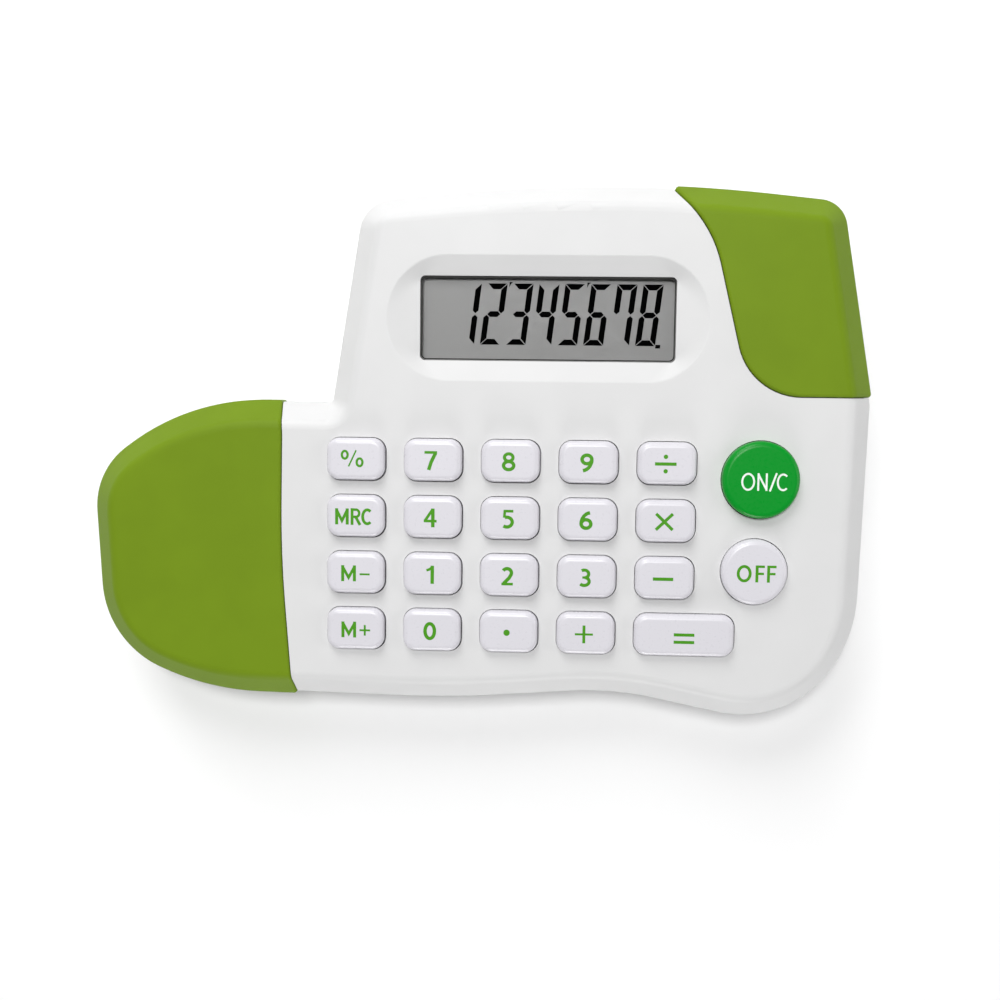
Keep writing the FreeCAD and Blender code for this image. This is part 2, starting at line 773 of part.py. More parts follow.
def display_window():
    """Clear lens whose step stands in the opening and whose flange lies behind the face."""
    gap = size("fit_gap")
    lens_path = rounded_rectangle(
        DISPLAY, size("window_width") - 2 * gap, size("window_depth") - 2 * gap, size("window_corner")
    )
    step = extrude("lens_step_plate", lens_path, "glass_top", "face_height - recess_drop - glass_top")
    flange_path = rounded_rectangle(
        DISPLAY,
        size("window_width") + 2 * size("lens_flange"),
        size("window_depth") + 2 * size("lens_flange"),
        1.5,
    )
    flange = extrude("lens_flange_plate", flange_path, "glass_top", "lens_step - glass_top")
    return fuse("display_window", [step, flange])


def lcd_glass():
    """Two bonded sheets; the rear one leaves a ledge below the window for the connector."""
    sheets = [
        block(
            "front_sheet",
            DISPLAY.x,
            f"{GLASS_Y} + glass_ledge / 2",
            "glass_top - glass_sheet",
            "glass_width",
            "glass_depth - glass_ledge",
            "glass_sheet",
        ),
        block(
            "rear_sheet",
            DISPLAY.x,
            GLASS_Y,
            "glass_top - 2 * glass_sheet",
            "glass_width",
            "glass_depth",
            "glass_sheet",
        ),
    ]
    return fuse("lcd_glass", sheets)


def lcd_reflector():
    return block(
        "lcd_reflector", DISPLAY.x, GLASS_Y, REFLECTOR_BASE, "glass_width", "glass_depth", "reflector_thick"
    )


def lcd_holder():
    """Tray that clamps the glass behind the window, open at the lower side for the connector."""
    outside = block(
        "holder_outside",
        DISPLAY.x,
        GLASS_Y,
        "holder_base",
        "glass_width + 4",
        "glass_depth + 3.6",
        "lens_step - holder_base",
    )
    room = block(
        "holder_room", DISPLAY.x, GLASS_Y, REFLECTOR_BASE, "glass_width + 0.4", "glass_depth + 0.4", 6
    )
    slot = block("holder_slot", DISPLAY.x, DISPLAY.y - 12, REFLECTOR_BASE, "ribbon_width + 2.4", 4, 6)
    ears = []
    for n, (x, y) in enumerate(HOLDER_PEGS, 1):
        ears.append(block(f"holder_ear_{n}", x, y, "holder_base", 8, 6, "holder_ear"))
    peg_holes = at_each(
        "ear_holes",
        HOLDER_PEGS,
        lambda n, x, y: cylinder(n, x, y, "holder_base - 1.8", "holder_peg_radius + fit_gap", 4),
    )
    rooms = fuse("holder_rooms", [room, slot, peg_holes])
    return cut("lcd_holder", fuse("holder_whole", [outside] + ears), rooms)


def lcd_ribbon():
    """Flat flexible connector from the glass ledge down to the board."""
    ledge = size("glass_top") - size("glass_sheet")
    board = size("board_top")
    thick = 0.16
    corners = [(17.3, ledge), (17.3, ledge + thick), (14.6, ledge + thick), (9.2, board + thick)]
    corners += [(4.6, board + thick), (4.6, board), (9.0, board), (14.4, ledge)]
    lines = []
    for start, end in zip(corners, corners[1:] + corners[:1]):
        lines.append(Part.LineSegment(Vector(*start, 0), Vector(*end, 0)))
    body = doc.addObject("PartDesign::Body", "lcd_ribbon")
    strip = pad(body, body_sketch(body, "ribbon_side", lines, 0, "YZ_Plane"), "ribbon_width")
    strip.Midplane = True
    return place(body, DISPLAY.x, 0, 0)


# ---------------------------------------------------------------- electronics

BOARD_UNDERSIDE = "board_top - board_thick"


def main_board():
    """Circuit board under the keys, with clearance holes for its screws."""
    plate = extrude("board_plate", rounded_path(BOARD_CORNERS), "board_top - board_thick", "board_thick")
    holes = at_each(
        "board_holes",
        BOARD_BOSSES,
        lambda n, x, y: cylinder(n, x, y, "board_top - 3", "board_screw_radius + 0.15", 4),
    )
    return cut("main_board", plate, holes)


def controller_chip():
    """Flat square package under the board with gull-wing legs on all four sides."""
    x, y, side = CHIP["x"], CHIP["y"], CHIP["side"]
    width, reach = CHIP["leg_width"], CHIP["reach"]
    leg_rise = 0.9
    leg_base = f"{BOARD_UNDERSIDE} - {leg_rise}"
    case = block("chip_case", x, y, f"{BOARD_UNDERSIDE} - 1.5", side, side, 1.3)
    legs = []
    for n in range(CHIP["legs"]):
        along = (n - (CHIP["legs"] - 1) / 2) * CHIP["leg_pitch"]
        legs.append(block(f"chip_leg_a{n}", x, y + along, leg_base, 2 * reach, width, 0.25))
        legs.append(block(f"chip_leg_b{n}", x + along, y, leg_base, width, 2 * reach, 0.25))
        for way in (-1, 1):
            end = way * reach
            legs.append(block(f"chip_foot_a{n}{way + 1}", x + end, y + along, leg_base, 0.3, width, leg_rise))
            legs.append(block(f"chip_foot_b{n}{way + 1}", x + along, y + end, leg_base, width, 0.3, leg_rise))
    return fuse("controller_chip", [case] + legs)


def capacitors():
    """Two small electrolytic cans hanging under the board."""
    radius, height = CANS["radius"], CANS["height"]
    base = f"{BOARD_UNDERSIDE} - {height}"
    cans = [cylinder(f"can_{n}", x, y, base, radius, height) for n, (x, y) in enumerate(CANS["places"])]
    return group("capacitors", cans)


def resistors():
    """Surface-mounted chips under the board."""
    height = RESISTORS["height"]
    base = f"{BOARD_UNDERSIDE} - {height}"
    chips = []
    for n, (x, y) in enumerate(RESISTORS["places"]):
        chips.append(block(f"chip_{n}", x, y, base, 2.0, 1.25, height))
    return group("resistors", chips)


# ---------------------------------------------------------------- fasteners and feet


def screw(name, x, y, head_base, head_radius, head_height, shank_radius, shank_length):
    """A cross-recess pan-head screw pointing up."""
    head = cylinder(name + "_head", x, y, head_base, head_radius, head_height)
    shank = cylinder(name + "_shank", x, y, f"{head_base} + {head_height}", shank_radius, shank_length)
    slot_base = f"{head_base} - 0.1"
    slots = [
        block(name + "_slot_a", x, y, slot_base, f"{head_radius} * 1.2", 0.4, 0.7),
        block(name + "_slot_b", x, y, slot_base, 0.4, f"{head_radius} * 1.2", 0.7),
    ]
    return cut(name, fuse(name + "_bar", [head, shank]), fuse(name + "_cross", slots))


def screw_set(label, places, *dimensions):
    return group(label, [screw(f"{label}_{n}", x, y, *dimensions) for n, (x, y) in enumerate(places, 1)])


def rubber_feet():
    feet = []
    for n, (x, y) in enumerate(FEET, 1):
        body = doc.addObject("PartDesign::Body", f"foot_{n}")
        ring_sketch = circle_sketch(body, f"foot_disc_{n}", "foot_radius", "0")
        disc = pad(body, ring_sketch, "foot_height + foot_inset")
        fillet(body, disc, 0.4, lambda e: flat_at(e, 0))
        feet.append(place(body, x, y, 0))
    return group("rubber_feet", feet)


# ---------------------------------------------------------------- battery


def battery_cell():
    """AAA cell lying along Y, its button towards +Y."""
    along = Vector(0, 1, 0)
    nub = 0.8
    start = f"{CELL.y} - cell_length / 2"
    can = doc.addObject("Part::Cylinder", "cell_can")
    button = doc.addObject("Part::Cylinder", "cell_button")
    for bar, radius, length in ((can, "cell_radius", f"cell_length - {nub}"), (button, 1.9, "cell_length")):
        bar.Placement = Placement(Vector(), Rotation(Vector(0, 0, 1), along))
        bind(bar, "Radius", radius)
        bind(bar, "Height", length)
        place(bar, CELL.x, start, "cell_height")
    return fuse("battery_cell", [can, button])


def battery_contacts():
    """The flat plate at the button end and the one that carries the spring."""
    front = f"{CELL.y} + cell_length / 2 + 0.2"
    back = f"{CELL.y} - cell_length / 2 - 2.5"
    plus = block("battery_contact_plus", CELL.x, front, 4.4, 9, 0.3, 6.4)
    minus = block("battery_contact_minus", CELL.x, back, 4.4, 6.6, 0.3, 6.4)
    return plus, minus


def battery_spring():
    """Bowed leaf between the minus plate and the cell."""
    thick = 0.3
    half_height = 3.0
    back = CELL.y - size("cell_length") / 2 - 2.15
    bow = 2.0
    body = doc.addObject("PartDesign::Body", "battery_spring")
    ends = [(Vector(back + shift, side * half_height, 0)) for side in (-1, 1) for shift in (0, thick)]
    near_low, far_low, near_high, far_high = ends
    leaf = [
        Part.Arc(near_low, Vector(back + bow - thick, 0, 0), near_high),
        Part.LineSegment(near_high, far_high),
        Part.Arc(far_high, Vector(back + bow, 0, 0), far_low),
        Part.LineSegment(far_low, near_low),
    ]
    strip = pad(body, body_sketch(body, "spring_side", leaf, 0, "YZ_Plane"), 5)
    strip.Midplane = True
    return place(body, CELL.x, 0, "cell_height")


def battery_door():
    """Flush plate in the base with finger grooves and two countersunk screw places."""
    plate = extrude("door_plate", door_path(0), "foot_height", "door_thick")
    grooves = []
    for n in range(4):
        grooves.append(block(f"door_groove_{n}", CELL.x, 1.0 - 1.4 * n, 0, 8.0, 0.7, "foot_height + 0.4"))
    heads = at_each(
        "door_head_rooms",
        DOOR_SCREWS,
        lambda n, x, y: cylinder(n, x, y, 0, "door_head_radius + 0.15", "foot_height + 1.0"),
    )
    shanks = at_each(
        "door_shank_rooms", DOOR_SCREWS, lambda n, x, y: cylinder(n, x, y, 0, "door_screw_radius + 0.1", 5)
    )
    return cut("battery_door", plate, fuse("door_holes", [heads, shanks] + grooves))


def lead(name, points):
    """An insulated lead swept along straight runs joined by tangent arcs."""
    points = [Vector(*p) for p in points]
    edges, start = [], points[0]
    for before, corner, after in zip(points, points[1:], points[2:]):
        into = (corner - before).normalize()
        out = (after - corner).normalize()
        half_turn = into.getAngle(out) / 2
        reach = 0.45 * min((corner - before).Length, (after - corner).Length)
        radius = reach / math.tan(half_turn)
        to_centre = (out - into).normalize()
        depth = radius / math.cos(half_turn) - radius
        arc_start, arc_end = corner - into * reach, corner + out * reach
        edges.append(Part.makeLine(start, arc_start))
        edges.append(Part.Arc(arc_start, corner + to_centre * depth, arc_end).toShape())
        start = arc_end
    edges.append(Part.makeLine(start, points[-1]))
    route = Part.Wire(edges)
    section = Part.Wire(Part.makeCircle(size("lead_radius"), points[0], points[1] - points[0]))
    tube = doc.addObject("Part::Feature", name)
    tube.Shape = route.makePipeShell([section], True, False)
    print(f"{name} length {route.Length:.1f}")
    return tube


# ---------------------------------------------------------------- the whole calculator


def build():
    seat = casing_skin("seat_skin", ["cover_depth"])
    backing_core = casing_skin("backing_core", ["cover_depth", "cover_seat_wall"])
    proud = casing_skin("proud_skin", ["-cover_proud"], rounded=True)
    nodes = [
        front_shell(seat, backing_core),
        cover("left_cover", proud, left_region("left_slice", 0, "parting_height"), seat, LEFT_PEGS),
        cover("corner_cover", proud, corner_region("corner_slice", 0, "parting_height"), seat, CORNER_PEGS),
        rear_shell(),
        display_window(),
        lcd_glass(),
        lcd_reflector(),
        lcd_holder(),
        lcd_ribbon(),
        dome_mat(),
        main_board(),
        controller_chip(),
        capacitors(),
        resistors(),
        rubber_feet(),
        battery_cell(),
        *battery_contacts(),
        battery_spring(),
        battery_door(),
        screw_set(
            "housing_screws",
            HOUSING_POSTS,
            "foot_height + 1.4",
            "housing_head_radius",
            1.8,
            "housing_screw_radius",
            9.5,
        ),
        screw_set(
            "board_screws",
            BOARD_BOSSES,
            "board_top - board_thick - 1.2",
            "board_head_radius",
            1.2,
            "board_screw_radius",
            "board_thick + 3",
        ),
        screw_set(
            "battery_door_screws",
            DOOR_SCREWS,
            "foot_height + 0.1",
            "door_head_radius",
            0.9,
            "door_screw_radius",
            4.5,
        ),
        lead("battery_lead_red", RED_ROUTE),
        lead("battery_lead_black", BLACK_ROUTE),
    ]
    return nodes + all_keys()


def check(nodes):
    failed = [o.Name for o in doc.Objects if "Invalid" in o.State or "Error" in o.State]
    failed += [n.Label for n in nodes if n.Shape.isNull() or not n.Shape.isValid() or not n.Shape.Solids]
    if failed:
        raise RuntimeError(f"not built: {failed}")


def write(nodes):
    os.makedirs("parts", exist_ok=True)
    for node in nodes:
        node.Shape.exportStep(f"parts/{node.Label}.step")
        print(f"{node.Label}: {len(node.Shape.Solids)} solid(s), {node.Shape.Volume:.1f} mm3")


pieces = build()
doc.recompute()
check(pieces)
write(pieces)
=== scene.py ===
import json
import math

import bmesh
import bpy
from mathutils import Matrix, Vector
from mathutils.geometry import delaunay_2d_cdt


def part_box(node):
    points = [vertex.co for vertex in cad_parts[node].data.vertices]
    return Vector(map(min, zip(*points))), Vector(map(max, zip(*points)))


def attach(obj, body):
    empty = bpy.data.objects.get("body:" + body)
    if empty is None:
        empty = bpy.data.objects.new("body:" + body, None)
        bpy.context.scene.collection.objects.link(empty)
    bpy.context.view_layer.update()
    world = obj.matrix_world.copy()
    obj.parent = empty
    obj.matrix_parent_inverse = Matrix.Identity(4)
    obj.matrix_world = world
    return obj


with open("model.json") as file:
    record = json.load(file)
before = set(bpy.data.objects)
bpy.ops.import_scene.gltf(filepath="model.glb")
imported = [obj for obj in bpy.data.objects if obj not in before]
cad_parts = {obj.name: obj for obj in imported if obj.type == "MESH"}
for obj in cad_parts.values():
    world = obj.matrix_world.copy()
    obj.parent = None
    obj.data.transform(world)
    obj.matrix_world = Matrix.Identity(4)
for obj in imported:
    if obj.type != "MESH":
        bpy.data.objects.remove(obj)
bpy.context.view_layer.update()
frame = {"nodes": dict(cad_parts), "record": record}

MM = 0.001
NODES = frame["nodes"]
BODY_OF = {node: body for body, nodes in frame["record"]["behaviour"]["bodies"].items() for node in nodes}
SLOT_OF = {part["node"]: part["material_slot"] for part in frame["record"]["subparts"]}


# ---------------------------------------------------------------- materials

COLOUR_BAND = (0.35, 0.65)        # the stretch of a noise that colours are spread over
GLOSS_BAND = (0.3, 0.7)           # and the stretch that roughness is spread over


class Shader:
    """A node material built up call by call. Sockets are named with _ for each space."""

    def __init__(self, name, colour, roughness, **sockets):
        self.material = bpy.data.materials.new(name)
        self.material.use_nodes = True
        self.tree = self.material.node_tree
        self.shader = self.tree.nodes["Principled BSDF"]
        self.coordinates = self.add("ShaderNodeTexCoord")
        self.shader.inputs["Base Color"].default_value = (*colour, 1.0)
        self.shader.inputs["Roughness"].default_value = roughness
        for socket, value in sockets.items():
            self.shader.inputs[socket.replace("_", " ")].default_value = value
        self.colour = colour

    def add(self, kind):
        return self.tree.nodes.new(kind)

    def link(self, start, end):
        self.tree.links.new(start, end)

    def noise(self, grains_per_mm, detail=4.0, roughness=0.55, stretch=(1, 1, 1)):
        """Noise in object space, its grain given per millimetre."""
        mapping = self.add("ShaderNodeMapping")
        mapping.inputs["Scale"].default_value = [s / MM for s in stretch]
        self.link(self.coordinates.outputs["Object"], mapping.inputs["Vector"])
        noise = self.add("ShaderNodeTexNoise")
        noise.inputs["Scale"].default_value = grains_per_mm
        noise.inputs["Detail"].default_value = detail
        noise.inputs["Roughness"].default_value = roughness
        self.link(mapping.outputs["Vector"], noise.inputs["Vector"])
        return noise

    def vary_colour(self, source, darker, lighter):
        """Let the colour wander between two multiples of itself."""
        ramp = self.add("ShaderNodeValToRGB")
        for stop, position, factor in zip(ramp.color_ramp.elements, COLOUR_BAND, (darker, lighter)):
            stop.position = position
            stop.color = (*[c * factor for c in self.colour], 1)
        self.link(source.outputs["Fac"], ramp.inputs["Fac"])
        self.link(ramp.outputs["Color"], self.shader.inputs["Base Color"])

    def vary_roughness(self, source, low, high):
        spread = self.add("ShaderNodeMapRange")
        spread.inputs["From Min"].default_value = GLOSS_BAND[0]
        spread.inputs["From Max"].default_value = GLOSS_BAND[1]
        spread.inputs["To Min"].default_value = low
        spread.inputs["To Max"].default_value = high
        self.link(source.outputs["Fac"], spread.inputs["Value"])
        self.link(spread.outputs["Result"], self.shader.inputs["Roughness"])

    def bump(self, source, depth_mm):
        node = self.add("ShaderNodeBump")
        node.inputs["Distance"].default_value = depth_mm * MM
        self.link(source.outputs["Fac"], node.inputs["Height"])
        self.link(node.outputs["Normal"], self.shader.inputs["Normal"])


def moulded(name, colour, roughness, grain_mm, depth_mm, tone=0.02, **sockets):
    """Injection-moulded plastic: faint cloudiness, spark-eroded grain and a slight wander in its gloss."""
    clouds_per_mm = 0.08
    smoother, rougher = 0.05, 0.06
    made = Shader(name, colour, roughness, **sockets)
    made.vary_colour(made.noise(clouds_per_mm, detail=3.0), 1 - tone, 1 + tone)
    grain = made.noise(1 / grain_mm, detail=3.0, roughness=0.6)
    made.vary_roughness(grain, roughness - smoother, roughness + rougher)
    made.bump(grain, depth_mm)
    return made.material


def printed(name, colour, roughness=0.45, specular=0.2):
    """Pad-printed ink with slightly uneven cover."""
    ink = Shader(name, colour, roughness, Specular_IOR_Level=specular)
    ink.vary_colour(ink.noise(grains_per_mm=1.5), darker=0.92, lighter=1.06)
    ink.bump(ink.noise(grains_per_mm=4.0), depth_mm=0.004)
    return ink.material


def metal(name, colour, roughness, stretch=(1, 1, 1)):
    """Plated or drawn metal with fine streaks in its tone and gloss."""
    smoother, rougher = 0.08, 0.12
    made = Shader(name, colour, roughness, Metallic=1.0)
    streaks = made.noise(grains_per_mm=3.0, roughness=0.6, stretch=stretch)
    made.vary_colour(streaks, darker=0.85, lighter=1.1)
    made.vary_roughness(streaks, roughness - smoother, roughness + rougher)
    made.bump(streaks, depth_mm=0.004)
    return made.material


def lens_material():
    """Clear acrylic: see-through, with a gloss that grows towards grazing angles."""
    made = Shader("lens_acrylic", (1, 1, 1), 0.03)
    clear = made.add("ShaderNodeBsdfTransparent")
    gloss = made.add("ShaderNodeBsdfGlossy")
    gloss.inputs["Roughness"].default_value = 0.04
    fresnel = made.add("ShaderNodeFresnel")
    fresnel.inputs["IOR"].default_value = 1.15
    mix = made.add("ShaderNodeMixShader")
    output = made.tree.nodes["Material Output"]
    amount, first, second = mix.inputs
    made.link(fresnel.outputs["Fac"], amount)
    made.link(clear.outputs["BSDF"], first)
    made.link(gloss.outputs["BSDF"], second)
    made.link(mix.outputs["Shader"], output.inputs["Surface"])
    made.tree.nodes.remove(made.shader)
    return made.material


def board_material():
    """Green solder mask, mottled by the copper below it."""
    made = Shader("solder_mask", (0.012, 0.12, 0.045), 0.35)
    made.vary_colour(made.noise(grains_per_mm=0.6, detail=5.0), darker=0.7, lighter=1.4)
    made.bump(made.noise(grains_per_mm=2.0), depth_mm=0.01)
    return made.material


CASING_WHITE = (0.645, 0.645, 0.645)
COVER_GREEN = (0.1505, 0.241, 0.0105)
KEY_WHITE = (0.637, 0.625, 0.665)
KEY_GREEN = (0.002, 0.258, 0.02)
PANEL_GREY = (0.425, 0.425, 0.42)

# The material of each slot. A plastic's numbers are its roughness, the size and depth of its grain
# in millimetres, and the unevenness of its tone.
MATERIALS = {
    "casing_white": moulded("casing_plastic", CASING_WHITE, 0.42, 0.22, 0.004, 0.012, Specular_IOR_Level=0.2),
    "cover_green": moulded("cover_plastic", COVER_GREEN, 0.46, 0.25, 0.008, 0.03, Specular_IOR_Level=0.08),
    "key_white": moulded("key_plastic", KEY_WHITE, 0.30, 0.6, 0.002, 0.01),
    "key_green": moulded("on_key_plastic", KEY_GREEN, 0.30, 0.6, 0.002, 0.02, Specular_IOR_Level=0.2),
    "lens_clear": lens_material(),
    "lcd_grey": moulded("lcd_panel", PANEL_GREY, 0.35, 0.4, 0.001, 0.012),
    "inner_white": moulded("inner_plastic", (0.7, 0.7, 0.68), 0.5, 0.3, 0.006),
    "ribbon_amber": moulded("polyimide_film", (0.42, 0.16, 0.02), 0.25, 0.5, 0.002),
    "rubber_grey": moulded("silicone_rubber", (0.12, 0.12, 0.125), 0.65, 0.2, 0.01, 0.06),
    "board_green": board_material(),
    "chip_black": moulded("epoxy", (0.012, 0.012, 0.013), 0.5, 0.15, 0.01, 0.1),
    "can_silver": metal("drawn_can", (0.68, 0.68, 0.7), 0.3, (1, 1, 0.1)),
    "cell_jacket": moulded("cell_jacket_film", (0.03, 0.08, 0.2), 0.3, 0.5, 0.002),
    "contact_nickel": metal("nickel_plate", (0.62, 0.6, 0.56), 0.25),
    "screw_steel": metal("zinc_plate", (0.55, 0.55, 0.56), 0.35),
    "lead_red": moulded("red_insulation", (0.42, 0.012, 0.012), 0.45, 0.3, 0.003),
    "lead_black": moulded("black_insulation", (0.012, 0.012, 0.012), 0.45, 0.3, 0.003),
}


def dress_nodes():
    """Give every CAD node the material of its slot."""
    for name, node in NODES.items():
        node.data.materials.clear()
        node.data.materials.append(MATERIALS[SLOT_OF[name]])


# ---------------------------------------------------------------- printed marks

INK_GREEN = printed("legend_green_ink", (0.06, 0.27, 0.008))
INK_WHITE = printed("legend_white_ink", (0.78, 0.82, 0.78))
# Black ink for the line round the lens edge: painted shade, standing in for the shadow in the gap at the edge
# of the window.
PAINTED_EDGE_SHADE = printed("painted_edge_shade_ink", (0.012, 0.012, 0.010))
LCD_DARK = printed("lcd_segment", (0.0008, 0.0008, 0.0008), 0.6, 0.0)
INK_STAND = 0.004        # millimetres that a mark stands above its surface
INK_SUNK = 0.02          # and reaches below it
ARC_STEP = 12            # degrees of an arc to one straight stroke
SAME_POINT = 1e-6        # millimetres apart at which a run of points counts as closed
WELD = 1e-5              # and at which corners of overlapping strokes become one
FLAT = 0.01              # radians between faces that are joined into one


def arc(x, y, reach_x, reach_y, start, end):
    """Points along an ellipse, from one angle to another in degrees."""
    steps = max(2, round(abs(end - start) / ARC_STEP))
    angles = [math.radians(start + (end - start) * i / steps) for i in range(steps + 1)]
    return [(x + reach_x * math.cos(a), y + reach_y * math.sin(a)) for a in angles]


def pen(points, width):
    """The quadrilaterals that a flat pen covers along a run of points, mitred at each corner."""
    path = [Vector(p) for p in points]
    closed = (path[0] - path[-1]).length < SAME_POINT
    ways = [(b - a).normalized() for a, b in zip(path, path[1:])]
    sides = []
    for i, point in enumerate(path):
        before = ways[i - 1] if i > 0 or closed else ways[0]
        after = ways[i] if i < len(ways) else (ways[0] if closed else ways[-1])
        mitre = Vector((-(before + after).y, (before + after).x)).normalized()
        reach = mitre * (width / 2 / mitre.dot(Vector((-before.y, before.x))))
        sides.append((point + reach, point - reach))
    return [[a[0], a[1], b[1], b[0]] for a, b in zip(sides, sides[1:])]


def anticlockwise(shape):
    """The same shape with its corners in anticlockwise order."""
    turns = zip(shape, shape[1:] + shape[:1])
    return shape if sum(a[0] * b[1] - a[1] * b[0] for a, b in turns) > 0 else shape[::-1]


def covered(shapes):
    """Points and triangles over the union of flat shapes."""
    corners = [Vector(p) for shape in shapes for p in anticlockwise(shape)]
    counter = iter(range(len(corners)))
    faces = [[next(counter) for _ in shape] for shape in shapes]
    points, _, triangles, _, _, sources = delaunay_2d_cdt(corners, [], faces, 0, WELD)
    return points, [triangle for triangle, source in zip(triangles, sources) if source]


def ink_piece(name, shapes, place, node, material):
    """A thin closed slab of ink over flat shapes in millimetres, laid on a node at a place in metres."""
    body, slot = BODY_OF[node], SLOT_OF[node]
    points, triangles = covered(shapes)
    height = place[2] + INK_STAND * MM
    work = bmesh.new()
    top = [work.verts.new((place[0] + p.x * MM, place[1] + p.y * MM, height)) for p in points]
    for triangle in triangles:
        work.faces.new([top[i] for i in triangle])
    bmesh.ops.delete(work, geom=[v for v in work.verts if not v.link_faces], context="VERTS")
    bmesh.ops.dissolve_limit(work, angle_limit=FLAT, verts=work.verts, edges=work.edges)
    grown = bmesh.ops.extrude_face_region(work, geom=work.faces[:], use_keep_orig=True)["geom"]
    for item in grown:
        if isinstance(item, bmesh.types.BMVert):
            item.co.z -= (INK_STAND + INK_SUNK) * MM
    bmesh.ops.recalc_face_normals(work, faces=work.faces)
    mesh = bpy.data.meshes.new(name)
    work.to_mesh(mesh)
    work.free()
    piece = bpy.data.objects.new(name, mesh)
    bpy.context.scene.collection.objects.link(piece)
    mesh.materials.append(material)
    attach(piece, body)


def middle(low, high, height, shift=(0, 0)):
    """The middle of a box seen from above, moved by a shift in millimetres, at a height in metres."""
    return ((low.x + high.x) / 2 + shift[0] * MM, (low.y + high.y) / 2 + shift[1] * MM, height)


def moved(shapes, x, y):
    return [[(p[0] + x, p[1] + y) for p in shape] for shape in shapes]


# Key lettering, each glyph drawn about its own middle in millimetres. The usual widths of the pen:
BOLD = 0.68          # the main strokes of digits
BAR = 0.52           # their level strokes
LETTER = 0.56        # letters
THIN = 0.36          # the lettering of the ON/C key


def oval(x, y, reach_x, reach_y, width):
    return pen(arc(x, y, reach_x, reach_y, 0, 360), width)


def dot(x, y, radius):
    return [arc(x, y, radius, radius, 0, 360)[:-1]]


def letter_m(width):
    stems = [pen([(x, -1.57), (x, 1.57)], 0.6) for x in (-width, width)]
    return stems[0] + stems[1] + pen([(-width, 1.25), (0, -0.83), (width, 1.25)], 0.55)


def letter_r():
    bowl = [(-0.7, 1.36), (0, 1.36)] + arc(0.05, 0.66, 0.62, 0.7, 85, -85) + [(0, -0.04), (-0.7, -0.04)]
    stem = pen([(-0.72, -1.63), (-0.72, 1.63)], LETTER)
    leg = pen([(0.0, -0.1), (0.85, -1.63)], LETTER)
    return stem + pen(bowl, 0.5) + leg


def letter_c(reach_x, reach_y, width):
    return pen(arc(0.1, 0, reach_x, reach_y, 48, 312), width)


def letter_f():
    arms = pen([(-0.7, 1.4), (0.85, 1.4)], 0.48) + pen([(-0.7, 0.02), (0.7, 0.02)], 0.46)
    return pen([(-0.62, -1.65), (-0.62, 1.64)], LETTER) + arms


def letter_n():
    stems = pen([(-0.78, -1.66), (-0.78, 1.66)], THIN) + pen([(0.78, -1.66), (0.78, 1.66)], THIN)
    return stems + pen([(-0.76, 1.4), (0.76, -1.4)], THIN)


def digit_six():
    return oval(0.02, -0.66, 0.93, 0.82, BOLD) + pen(arc(0.95, -0.7, 1.88, 2.22, 96, 178), BOLD)


def cross(reach, width_across, width_up):
    return pen([(-reach, 0), (reach, 0)], width_across) + pen([(0, -reach), (0, reach)], width_up)


GLYPHS = {
    "0": oval(0, 0, 0.92, 1.46, BOLD),
    "1": pen([(0.42, -1.78), (0.42, 1.78)], BOLD) + pen([(0.5, 1.5), (-0.25, 1.0), (-0.72, 0.86)], 0.5),
    "2": pen(arc(-0.05, 0.66, 0.85, 0.82, 150, -30) + [(0.35, -0.35), (-0.72, -1.42)], BOLD)
    + pen([(-1.12, -1.53), (1.1, -1.53)], BAR),
    "3": pen(arc(-0.12, 0.74, 0.84, 0.75, 128, -80), 0.62) + pen([(-0.5, 0.04), (0.1, 0.04)], 0.46)
    + pen(arc(-0.15, -0.72, 0.98, 0.78, 82, -138), 0.64),
    "4": pen([(0.46, -1.82), (0.46, 1.82)], BOLD) + pen([(0.46, 1.72), (-1.1, -0.62)], 0.55)
    + pen([(-1.3, -0.62), (1.2, -0.62)], BAR),
    "5": pen([(1.02, 1.56), (-0.62, 1.56), (-0.72, 0.28)], BAR)
    + pen(arc(-0.22, -0.56, 1.05, 0.95, 112, -128), 0.66),
    "6": digit_six(),
    "7": pen([(-1.24, 1.57), (1.2, 1.57)], BAR) + pen([(0.92, 1.5), (0.05, -0.3), (-0.42, -1.82)], BOLD),
    "8": oval(0, 0.82, 0.82, 0.7, 0.62) + oval(0, -0.74, 0.98, 0.78, 0.66),
    "9": [[(-x, -y) for x, y in shape] for shape in digit_six()],
    "percent": oval(-1.45, 0.7, 0.56, 0.74, 0.46) + oval(1.43, -0.72, 0.56, 0.74, 0.46)
    + pen([(-0.72, -1.55), (0.76, 1.6)], 0.3),
    "mrc": moved(letter_m(1.03), -2.25, 0) + moved(letter_r(), 0.45, 0)
    + moved(letter_c(0.9, 1.36, LETTER), 2.6, 0),
    "m_minus": moved(letter_m(1.15), -1.35, 0.1) + pen([(0.82, -0.05), (2.78, -0.05)], 0.36),
    "m_plus": moved(letter_m(1.15), -1.35, 0.1) + moved(cross(1.05, 0.38, 0.4), 1.8, 0),
    "divide": pen([(-2.05, 0), (2.05, 0)], 0.62) + dot(0, 1.38, 0.42) + dot(0, -1.38, 0.42),
    "multiply": pen([(-1.6, -1.55), (1.6, 1.55)], 0.6) + pen([(-1.6, 1.55), (1.6, -1.55)], 0.6),
    "minus": pen([(-1.95, 0), (1.95, 0)], 0.64),
    "plus": cross(1.75, 0.42, 0.56),
    "equals": pen([(-1.98, 0.72), (1.98, 0.72)], 0.6) + pen([(-1.98, -0.72), (1.98, -0.72)], 0.6),
    "point": dot(0, 0, 0.62),
    "off": moved(oval(0, 0, 1.14, 1.4, LETTER), -2.3, 0) + moved(letter_f(), 0.75, 0)
    + moved(letter_f(), 2.95, 0),
    "on_clear": moved(oval(0, 0, 1.12, 1.52, THIN), -3.15, 0) + moved(letter_n(), -0.45, 0)
    + pen([(0.98, -1.75), (2.2, 1.72)], THIN) + moved(letter_c(1.02, 1.5, THIN), 3.35, 0),
}

